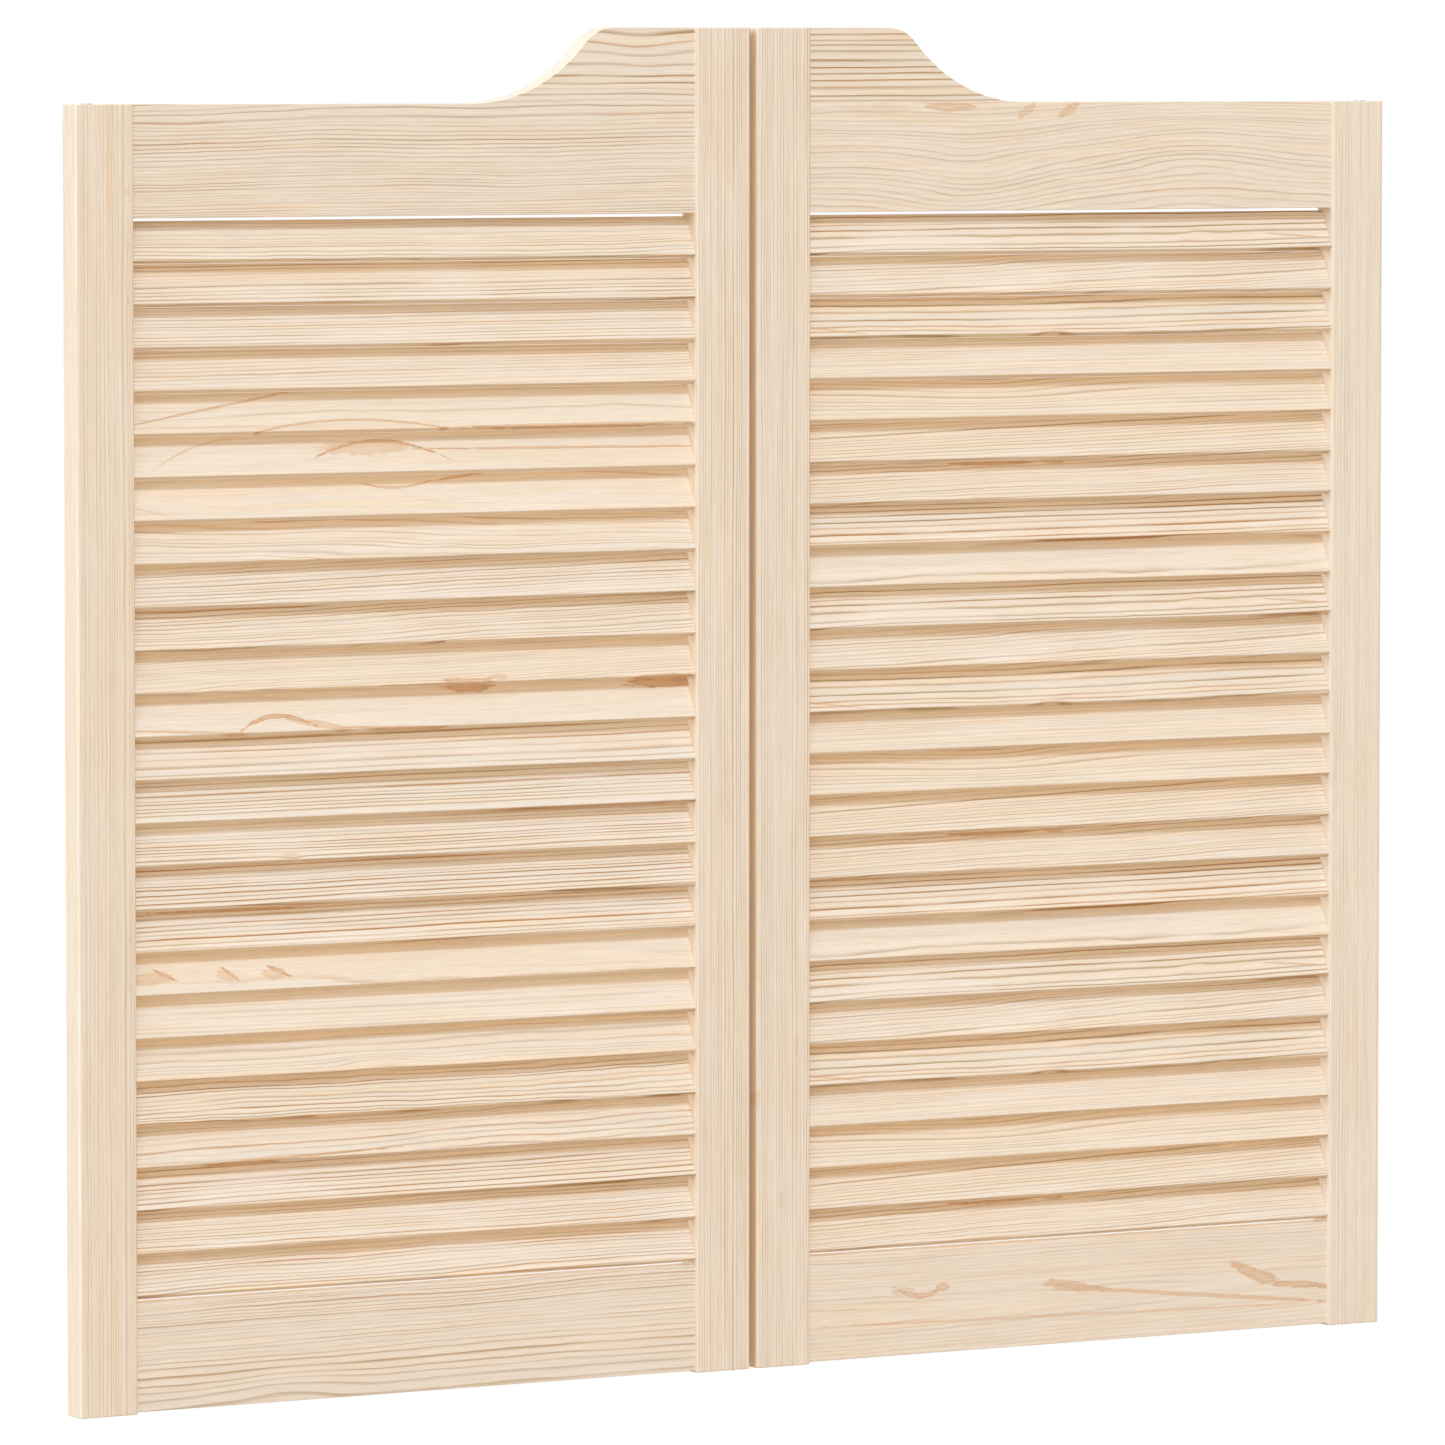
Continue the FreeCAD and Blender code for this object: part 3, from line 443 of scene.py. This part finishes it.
def fitPine(nodeName, kind, boards, middles, seam=0.0):
    # Gives a CAD piece its pine. A pair of slats is one piece, so its two boards are told apart by depth.
    # A rail glued up from two boards has its seam that far above its middle.
    material = startMaterial("raw planed pine " + nodeName)
    tree = material.node_tree
    turn = boardTurns[kind]
    coordinates = addNode(tree, "ShaderNodeTexCoord").outputs
    turned = addNode(tree, "ShaderNodeMapping", {"Vector": coordinates["Object"], "Rotation": turn,
                                                 "Scale": (millimetres,) * 3})
    origins = [turn.to_matrix() @ middle * millimetres for middle in middles]
    values = {name: boards[0][name] for name in boardValues}
    origin = origins[0]
    upper = None
    if len(boards) > 1:
        axis, border = "Y", origin.y + seam
        if kind == "slat":
            axis, border = "Z", (origins[0].z + origins[1].z) / 2
        rise = addNode(tree, "ShaderNodeSeparateXYZ", {0: turned.outputs[0]}).outputs[axis]
        upper = addNode(tree, "ShaderNodeMath", {0: rise, 1: border}, operation="GREATER_THAN").outputs[0]
        origin = addNode(tree, "ShaderNodeMix", {0: upper, 4: origins[0], 5: origins[1]},
                         data_type="VECTOR").outputs[1]
        for name in boardValues:
            values[name] = addNode(tree, "ShaderNodeMix", {0: upper, 2: boards[0][name], 3: boards[1][name]},
                                   data_type="FLOAT").outputs[0]
    local = addNode(tree, "ShaderNodeVectorMath", {0: turned.outputs[0], 1: origin}, operation="SUBTRACT")
    if kind in softEdges:
        edge = softEdges[kind]
        across = addNode(tree, "ShaderNodeVectorMath", {0: coordinates["Normal"], 1: edge["towards"]},
                         operation="DOT_PRODUCT").outputs["Value"]
        if edge["both"]:
            across = addNode(tree, "ShaderNodeMath", {0: across}, operation="ABSOLUTE").outputs[0]
        soft = addNode(tree, "ShaderNodeMapRange", {"Value": across, "From Min": edge["from"],
                                                    "From Max": edge["to"], "To Min": 1.0,
                                                    "To Max": edge["keeps"]})
        values["lines"] = addNode(tree, "ShaderNodeMath", {0: values["lines"], 1: soft.outputs[0]},
                                  operation="MULTIPLY").outputs[0]
    marks = dict(knotValues)
    for i, board in enumerate(boards):
        for knot in board.get("knots", ()):
            here = 1.0
            if upper is not None:
                here = addNode(tree, "ShaderNodeMath", {0: upper, 1: float(i)},
                               operation="COMPARE").outputs[0]
            swirl = addNode(tree, "ShaderNodeGroup",
                            {"Place": local.outputs[0], "Centre": (knot["along"], knot["across"], 0),
                             "Span": (1 / knot["long"], 1 / knot["high"], 0),
                             "Bend": (knot.get("slope", 0), knot.get("curve", 0), 0)}, node_tree=pineKnot)
            for name in knotValues:
                amount = addNode(tree, "ShaderNodeMath", {0: knot.get(name, 0.0), 1: here},
                                 operation="MULTIPLY")
                tree.links.new(amount.outputs[0], swirl.inputs[name])
                marks[name] = addNode(tree, "ShaderNodeMath", {0: marks[name], 1: swirl.outputs[name]},
                                      operation="ADD" if name == "bow" else "MAXIMUM").outputs[0]
    figure = addNode(tree, "ShaderNodeGroup", {"Place": local.outputs[0], **marks, **values},
                     node_tree=pineFigure)
    colour = figure.outputs["Colour"]
    if "meeting" in nodeName:
        # painted shade: the meeting stiles' side faces lie in shade, in the gap between the leaves and beside
        # the slats, so they are tinted warmer
        gapShade = addNode(tree, "ShaderNodeMath", {0: 1.0, 1: soft.outputs[0]}, operation="SUBTRACT")
        colour = addNode(tree, "ShaderNodeMix",
                         {0: gapShade.outputs[0], 6: colour, 7: linear(pine["gapShadeTint"])},
                         data_type="RGBA", blend_type="MULTIPLY").outputs[2]
    bump = addNode(tree, "ShaderNodeBump", {"Height": figure.outputs["Relief"], "Strength": 1.0,
                                            "Distance": pine["reliefDepth"]})
    dullness = addNode(tree, "ShaderNodeMapRange", {"Value": figure.outputs["Relief"],
                                                    "To Min": pine["roughness"][1],
                                                    "To Max": pine["roughness"][0]})
    surface = addNode(tree, "ShaderNodeBsdfPrincipled",
                      {"Base Color": colour, "Roughness": dullness.outputs[0],
                       "IOR": pine["ior"], "Specular IOR Level": pine["specular"], "Normal": bump.outputs[0]})
    addNode(tree, "ShaderNodeOutputMaterial", {"Surface": surface.outputs[0]})
    dress(nodeName, material)


def boxMiddle(nodeName):
    low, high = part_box(nodeName)
    return (low + high) / 2


def mark(along, across, long, high, **more):
    # a knot or a patch of resin: its middle, half its length and half its height, all in mm, and the rest
    return {"along": along, "across": across, "long": long, "high": high, **more}


# Stiles and rails, with the marks that each board carries
frameBoards = {
    "left_hinge_stile": {
        "pithAcross": 75, "pithDepth": 30, "ringWidth": 2.1, "lines": 0.5, "wander": 0.8, "warmth": 0.55,
        "seed": 3.1,
        "knots": [mark(along, 16, 3, 1.6, bow=0.6, patch=0.4) for along in (369, 334, 299, -115, -147)]},
    "left_meeting_stile": {
        "pithAcross": -80, "pithDepth": 20, "ringWidth": 2.0, "lines": 0.75, "wander": 0.5, "warmth": 0.45,
        "seed": 11.7},
    "right_meeting_stile": {
        "pithAcross": 55, "pithDepth": -25, "ringWidth": 2.0, "lines": 0.7, "wander": 0.6, "warmth": 0.45,
        "seed": 23.3,
        "knots": [mark(-233, 10, 8, 1.4, bow=0.6, patch=0.5),
                  mark(-338, -2, 6, 1.4, bow=0.5, patch=0.5),
                  mark(-268, -20, 7, 1.6, bow=0.5, patch=0.4)]},
    "right_hinge_stile": {
        "pithAcross": -70, "pithDepth": 24, "ringWidth": 1.9, "lines": 0.4, "wander": 0.5, "warmth": 0.4,
        "seed": 31.9},
    "left_top_rail": {
        "pithAcross": 82, "pithDepth": 32, "ringWidth": 4.6, "taper": 1, "lines": 0.95, "wander": 1.3,
        "warmth": 0.42, "lean": 10, "seed": 41.3,
        "knots": [mark(170, 48, 26, 14, bow=-3),
                  mark(-60, -2, 70, 20, bow=3)]},
    "right_top_rail": {
        "pithAcross": -84, "pithDepth": 30, "ringWidth": 3.1, "taper": 0.3, "lines": 0.5, "wander": 1.9,
        "warmth": 0.45, "lean": 6, "seed": 53.9,
        "knots": [mark(102, -20, 85, 42, bow=-10),
                  mark(-85, -40, 55, 34, bow=8),
                  mark(-98, 9, 22, 3.8, bow=1, patch=0.66),
                  mark(-38, 6, 8, 3.8, slope=0.6, patch=0.55),
                  mark(-4, 6.5, 9, 4, slope=0.5, patch=0.62),
                  mark(-155, 7, 26, 4, patch=0.25)]},
    "left_bottom_rail": {
        "pithAcross": -60, "pithDepth": 24, "ringWidth": 3.4, "taper": 1, "lines": 0.8, "wander": 1.3,
        "warmth": 0.4, "lean": 8, "seed": 61.1,
        "knots": [mark(-97, -28, 45, 12, bow=-5)]},
    # resin lies in it in one crescent and in two trails that run off to the right
    "right_bottom_rail": {
        "pithAcross": -6, "pithDepth": 22, "ringWidth": 2.4, "lines": 0.36, "wander": 1.0, "warmth": 0.5,
        "lean": 8, "dive": 16, "seed": 71.7,
        "knots": [mark(-122, 4.2, 20, 2.2, slope=-0.04, curve=0.015, bow=1, patch=0.75),
                  mark(-136, 8, 10, 3, patch=0.45),
                  mark(-104, 9, 5.5, 3.4, patch=0.7),
                  mark(-4, 4.2, 22, 4.4, slope=-0.15, bow=1, patch=0.6),
                  mark(8, 2, 26, 2.2, slope=-0.14, patch=0.8),
                  mark(105, -9, 115, 1.6, slope=-0.105, patch=0.7),
                  mark(150, 2.5, 24, 4.6, slope=-0.36, curve=0.004, bow=1, patch=0.72),
                  mark(186, -6.6, 36, 2.6, slope=-0.1, patch=0.8),
                  mark(0, -16.5, 215, 1.1, slope=-0.02, patch=0.6),
                  mark(40, 15.5, 120, 1.2, patch=0.25)]},
}
# the straight-grained strip glued along the top of the right rail, which forms its crest
crestStrip = {"pithAcross": -70, "pithDepth": 8, "ringWidth": 4.4, "lines": 1.1, "wander": 0.5, "warmth": 0.5,
              "lean": 4, "seed": 47.2, "seam": 11.5}

for nodeName, board in frameBoards.items():
    kind = "stile" if nodeName.endswith("stile") else "rail"
    boards = [{**boardValues, **board}]
    if nodeName == "right_top_rail":
        boards.append({**boardValues, **crestStrip})
    fitPine(nodeName, kind, boards, [boxMiddle(nodeName)] * len(boards), crestStrip["seam"])
print("stiles and rails in pine")


# Slats: each is ripped from a board of its own, some near the heart and some far from it. What isn't set for
# a slat is picked between these.
slatChoice = {
    "flatSawn": 0.4,                 # share of slats cut across the heart, with wide bowed figure
    "straightAcross": (26, 75),      # mm to the heart
    "straightDepth": (6, 30),
    "flatAcross": (0, 14),
    "flatDepth": (14, 42),
    "ringWidth": (1.9, 3.4),
    "lean": 14,
    "dive": 26,
    "wander": (0.7, 2.0),
    "lines": (0.45, 1.0),
    "warmth": (0.45, 0.78),
    "seed": (0, 90),
}
straight ={"pithAcross": 60, "pithDepth": 8, "wander": 0.6, "lean": 6}
slanting = {"pithAcross": 40, "pithDepth": 14, "ringWidth": 2.5, "lines": 0.9, "lean": 26}
# slats by leaf and row, with what sets their figure apart from a picked one
slatFigures = {
    ("left", 1): {"pithAcross": 30, "pithDepth": 16, "ringWidth": 2.4, "lines": 0.8, "wander": 1.6},
    ("left", 2): {**straight, "ringWidth": 2.8, "lines": 1.1},
    ("left", 3): {**straight, "ringWidth": 2.4, "lines": 0.8},
    ("left", 5): {"pithAcross": -16, "pithDepth": 20, "ringWidth": 5.5, "lines": 0.4, "wander": 1.6,
                  "lean": 20,
                  "knots": [mark(-145, 4, 72, 1, slope=0.18, patch=0.85),
                            mark(-50, -7, 90, 1, curve=-0.0015, patch=0.85),
                            mark(115, -13.4, 110, 1.1, patch=0.85),
                            mark(110, 14, 80, 1, patch=0.8)]},
    # resin in a hump with a dark top line that runs on to the end
    ("left", 6): {"pithAcross": -4, "pithDepth": 30, "ringWidth": 6, "lines": 0.4, "wander": 1.6,
                  "knots": [mark(-160, 7, 36, 0.9, slope=0.3, curve=-0.005, patch=0.6),
                            mark(-38, 3.5, 38, 5.8, bow=2, patch=0.55),
                            mark(-28, 8, 54, 1.4, curve=-0.005, patch=1.0),
                            mark(115, 0.6, 125, 1, slope=-0.01, patch=0.9)]},
    ("left", 7): {"lines": 0.35, "warmth": 0.6,
                  "knots": [mark(-14, 5, 30, 1, curve=0.006, patch=0.8),
                            mark(45, 13, 34, 1.1, slope=0.13, patch=0.9),
                            mark(150, 12.6, 62, 0.9, slope=-0.07, patch=0.7),
                            mark(-197, -8, 16, 0.8, slope=-0.27, patch=0.5)]},
    ("left", 9): {**slanting, "lines": 1.0},
    ("left", 10): {**slanting, "pithAcross": 50},
    ("left", 11): {**slanting, "pithAcross": -44, "ringWidth": 2, "lines": 0.7,
                   "knots": [mark(38, -14, 22, 3, curve=0.006, bow=1, patch=0.8),
                             mark(61, -11, 6, 2.4, patch=0.6),
                             mark(185, -15, 28, 2.4, patch=0.9)]},
    # a plain slat with a resin line that rises in one hump
    ("left", 12): {"pithAcross": -8, "pithDepth": 34, "ringWidth": 5, "lines": 0.3, "wander": 1.0,
                   "knots": [mark(42, 13, 24, 4.5, curve=0.006, patch=0.9),
                             mark(190, 12, 32, 5, patch=0.95),
                             mark(-170, -12, 48, 1.1, slope=-0.05, patch=0.75),
                             mark(-103, -3, 31, 1.8, curve=-0.011, patch=1.0),
                             mark(-75, -9.5, 26, 2.8, slope=-0.2, patch=0.7),
                             mark(-10, -14, 60, 1.1, slope=-0.03, patch=0.9)]},
    ("left", 13): {**straight, "ringWidth": 4.6, "lines": 0.95, "warmth": 0.5},
    ("left", 14): {**straight, "ringWidth": 3.2, "lines": 1.1, "warmth": 0.45},
    ("left", 15): {**straight, "pithAcross": -60, "ringWidth": 2.6, "lines": 1.3, "warmth": 0.45,
                   "knots": [mark(-95, -12, 8, 3, bow=1.5, patch=0.5)]},
    ("left", 16): {**straight, "pithAcross": -60, "ringWidth": 2.8, "lines": 1.7, "warmth": 0.45},
    ("left", 17): {**straight, "pithAcross": 66, "ringWidth": 3.2, "lines": 1.6, "warmth": 0.5,
                   "knots": [mark(-140, 12.5, 66, 1, patch=0.95)]},
    ("left", 18): {"pithAcross": 6, "pithDepth": 30, "ringWidth": 4.5, "lines": 0.5,
                   "knots": [mark(-199, -3, 20, 4.4, patch=0.62),
                             mark(-186, -1, 9, 1.8, slope=-0.5, patch=0.95),
                             mark(-142, -3, 8, 4.2, slope=-0.3, patch=0.55),
                             mark(-138, -2.5, 7, 1.8, slope=-0.8, patch=0.9),
                             mark(-106, -3.5, 10, 4.4, patch=0.58),
                             mark(-102, -2, 9, 1.9, slope=-0.5, patch=0.95)]},
    ("left", 19): {"lines": 0.4},
    ("left", 20): {"pithAcross": 20, "pithDepth": 16, "ringWidth": 3.4, "lines": 0.7, "wander": 1.8,
                   "knots": [mark(-31, -8, 34, 5, bow=4)]},
    ("left", 21): {"pithAcross": 40, "pithDepth": 12, "ringWidth": 3, "lines": 1.2, "wander": 2.4},
    ("left", 22): {"pithAcross": -24, "pithDepth": 16, "ringWidth": 3.2, "lines": 0.9, "wander": 2,
                   "knots": [mark(-110, -13.4, 95, 1, slope=0.03, patch=1.0)]},
    ("left", 23): {**straight, "ringWidth": 3.4, "lines": 1.3},
    ("left", 24): {**straight, "ringWidth": 2.6, "lines": 0.9, "wander": 1.2},
    ("left", 25): {**straight, "pithAcross": -40, "ringWidth": 2.6, "lines": 1.0, "wander": 1.6},
    ("right", 1): {**straight, "ringWidth": 4.2, "lines": 1.15, "wander": 1.1,
                   "knots": [mark(99, -4, 12, 3, slope=0.2, bow=2),
                             mark(180, -4.6, 22, 0.9, slope=-0.08, patch=0.8)]},
    ("right", 2): {**slanting, "lean": 30},
    ("right", 3): {**straight, "pithAcross": 48, "ringWidth": 4.4, "lines": 1.05, "wander": 1.3,
                   "knots": [mark(-18, -13.5, 14, 2, bow=2, patch=0.45),
                             mark(-190, -10, 26, 0.9, slope=-0.12, patch=0.7)]},
    ("right", 4): {**straight, "ringWidth": 2.2, "lines": 0.5},
    ("right", 5): {**straight, "ringWidth": 3.0, "lines": 0.7, "warmth": 0.75,
                   "knots": [mark(-60, 4, 80, 14, bow=-6)]},
    ("right", 6): slanting,
    ("right", 7): {**slanting, "lean": 22,
                   "knots": [mark(-60, 12.5, 36, 1.8, patch=0.9),
                             mark(-8, 12.7, 9, 1.6, bow=1, patch=0.8)]},
    ("right", 8): {**straight, "ringWidth": 4.4, "lines": 1.5},
    ("right", 9): {"pithAcross": 4, "pithDepth": 26, "ringWidth": 3.2, "lines": 0.7, "wander": 1.6},
}
# the right leaf's slats come off one plank, and after nine of them its figure comes round again
plankSlats = {"left": 25, "right": 9}


def pickSlat(side, number):
    number = (number - 1) % plankSlats[side] + 1
    dice = random.Random(f"{side} {number}")
    flat = dice.random() < slatChoice["flatSawn"]
    sort = "flat" if flat else "straight"
    return {
        **boardValues,
        "pithAcross": dice.choice((-1, 1)) * dice.uniform(*slatChoice[sort + "Across"]),
        "pithDepth": dice.choice((-1, 1)) * dice.uniform(*slatChoice[sort + "Depth"]),
        "ringWidth": dice.uniform(*slatChoice["ringWidth"]),
        "lean": dice.uniform(-1, 1) * slatChoice["lean"],
        "dive": dice.uniform(-1, 1) * slatChoice["dive"],
        "wander": dice.uniform(*slatChoice["wander"]),
        "lines": dice.uniform(*slatChoice["lines"]),
        "warmth": dice.uniform(*slatChoice["warmth"]),
        "seed": dice.uniform(*slatChoice["seed"]),
        **slatFigures.get((side, number), {}),
    }


slatCount = 0
for side in sides:
    firstLow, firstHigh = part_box(side + "_slat_01")
    slatHeight = firstHigh.z - firstLow.z
    for nodeName in sorted(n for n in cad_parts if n.startswith(side + "_slat")):
        numbers = [int(word) for word in nodeName.split("_") if word.isdigit()]
        low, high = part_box(nodeName)
        middle = (low + high) / 2
        rises = [high.z - slatHeight / 2]
        if len(numbers) > 1:
            rises.insert(0, low.z + slatHeight / 2)
        middles = [Vector((middle.x, middle.y, rise)) for rise in rises]
        # numbers run down the leaf, and the boards here from the lower slat to the upper one
        fitPine(nodeName, "slat", [pickSlat(side, n) for n in reversed(numbers)], middles)
        slatCount += len(numbers)
print("slats in pine:", slatCount)


# Dowels: beech, turned and fluted, pale brown with short dark ray flecks; they hide in the joints.
beech = {
    "light": "#D9B48A",
    "dark": "#B98C61",
    "fleck": "#8E6140",
    "figure": (22, 0.9),     # mm along and across the grain
    "flecks": (2.2, 0.25),
    "layers": 2,             # finer layers in each
    "fleckRange": (0.62, 0.72),
    "fleckShare": 0.6,       # of full colour
    "roughness": (0.5, 0.65),
    "relief": 0.00003,       # m
    "ior": 1.5,
    "specular": 0.3,
}


def fitBeech(nodeName):
    material = startMaterial("turned beech " + nodeName)
    tree = material.node_tree
    place = addNode(tree, "ShaderNodeTexCoord").outputs["Object"]
    seen = {}
    for name in ("figure", "flecks"):
        along, across = beech[name]
        spot = addNode(tree, "ShaderNodeVectorMath",
                       {0: place, 1: [millimetres / size for size in (along, across, across)]},
                       operation="MULTIPLY")
        seen[name] = addNode(tree, "ShaderNodeTexNoise",
                             {"Vector": spot.outputs[0], "Scale": 1.0,
                              "Detail": beech["layers"]}).outputs["Fac"]
    ground = addNode(tree, "ShaderNodeMix", {0: seen["figure"], 6: linear(beech["light"]),
                                             7: linear(beech["dark"])}, data_type="RGBA")
    fleck = addNode(tree, "ShaderNodeMapRange",
                    {"Value": seen["flecks"], "From Min": beech["fleckRange"][0],
                     "From Max": beech["fleckRange"][1], "To Max": beech["fleckShare"]})
    wood = addNode(tree, "ShaderNodeMix", {0: fleck.outputs[0], 6: ground.outputs[2],
                                           7: linear(beech["fleck"])}, data_type="RGBA")
    dullness = addNode(tree, "ShaderNodeMapRange", {"Value": seen["figure"], "To Min": beech["roughness"][0],
                                                    "To Max": beech["roughness"][1]})
    bump = addNode(tree, "ShaderNodeBump", {"Height": seen["figure"], "Strength": 1.0,
                                            "Distance": beech["relief"]})
    surface = addNode(tree, "ShaderNodeBsdfPrincipled",
                      {"Base Color": wood.outputs[2], "Roughness": dullness.outputs[0], "IOR": beech["ior"],
                       "Specular IOR Level": beech["specular"], "Normal": bump.outputs[0]})
    addNode(tree, "ShaderNodeOutputMaterial", {"Surface": surface.outputs[0]})
    dress(nodeName, material)


# Pivot metals. Their marks are the faint traces of the making, with sizes in mm along X, Y and Z.
metalMarks = {"layers": 3, "range": (0.3, 0.7)}   # finer layers, and the noise that the roughness follows
metals = {
    # turned on a lathe: yellow, satin, with fine rings round it
    "turned brass": {"parts": ("lower_bush", "upper_bush"), "light": "#D2AE62", "dark": "#B58F48",
                     "marks": (30, 30, 0.2), "roughness": (0.24, 0.38), "relief": 0.000004},
    # drawn through a die and zinc plated: blue-grey, with fine lines along it
    "zinc plated drawn steel": {"parts": ("spring_tube",), "light": "#C6CACE", "dark": "#A9AEB4",
                                "marks": (0.35, 0.35, 40), "roughness": (0.32, 0.48), "relief": 0.000004},
    # ground after turning: bright grey, with very fine rings
    "ground steel": {"parts": ("lower_pin", "upper_pin"), "light": "#C9C9CA", "dark": "#ABABAD",
                     "marks": (24, 24, 0.12), "roughness": (0.16, 0.28), "relief": 0.000002},
    # drawn wire, blued and oiled: dark and a little shiny, in soft patches
    "oiled spring steel": {"parts": ("return_spring",), "light": "#77736D", "dark": "#55524D",
                           "marks": (1.5, 1.5, 1.5), "roughness": (0.25, 0.42), "relief": 0.000003},
    # lapped and polished: a mirror with the faintest clouding
    "polished bearing steel": {"parts": ("thrust_ball",), "light": "#DADADB", "dark": "#CBCBCD",
                               "marks": (0.8, 0.8, 0.8), "roughness": (0.05, 0.09), "relief": 0.000001},
}


def fitMetal(nodeName, name, finish):
    material = startMaterial(name + " " + nodeName)
    tree = material.node_tree
    place = addNode(tree, "ShaderNodeTexCoord").outputs["Object"]
    spot = addNode(tree, "ShaderNodeVectorMath",
                   {0: place, 1: [millimetres / size for size in finish["marks"]]}, operation="MULTIPLY")
    marks = addNode(tree, "ShaderNodeTexNoise",
                    {"Vector": spot.outputs[0], "Scale": 1.0, "Detail": metalMarks["layers"]}).outputs["Fac"]
    colour = addNode(tree, "ShaderNodeMix", {0: marks, 6: linear(finish["light"]),
                                             7: linear(finish["dark"])}, data_type="RGBA")
    dullness = addNode(tree, "ShaderNodeMapRange",
                       {"Value": marks, "From Min": metalMarks["range"][0],
                        "From Max": metalMarks["range"][1], "To Min": finish["roughness"][0],
                        "To Max": finish["roughness"][1]})
    bump = addNode(tree, "ShaderNodeBump", {"Height": marks, "Strength": 1.0, "Distance": finish["relief"]})
    surface = addNode(tree, "ShaderNodeBsdfPrincipled",
                      {"Base Color": colour.outputs[2], "Metallic": 1.0, "Roughness": dullness.outputs[0],
                       "Normal": bump.outputs[0]})
    addNode(tree, "ShaderNodeOutputMaterial", {"Surface": surface.outputs[0]})
    dress(nodeName, material)


for side in sides:
    for part in ("top_rail_dowels", "bottom_rail_dowels"):
        fitBeech(f"{side}_{part}")
    for name, finish in metals.items():
        for part in finish["parts"]:
            fitMetal(f"{side}_{part}", name, finish)
print("dowels and pivots finished")


def twistSpring(side):
    nodeName = side + "_return_spring"
    coil = bpy.data.objects.new(side + "_twisting_spring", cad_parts[nodeName].data.copy())
    scene.collection.objects.link(coil)
    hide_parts(nodeName)
    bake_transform(coil)


for side in sides:
    twistSpring(side)
print("springs copied into objects of their own")
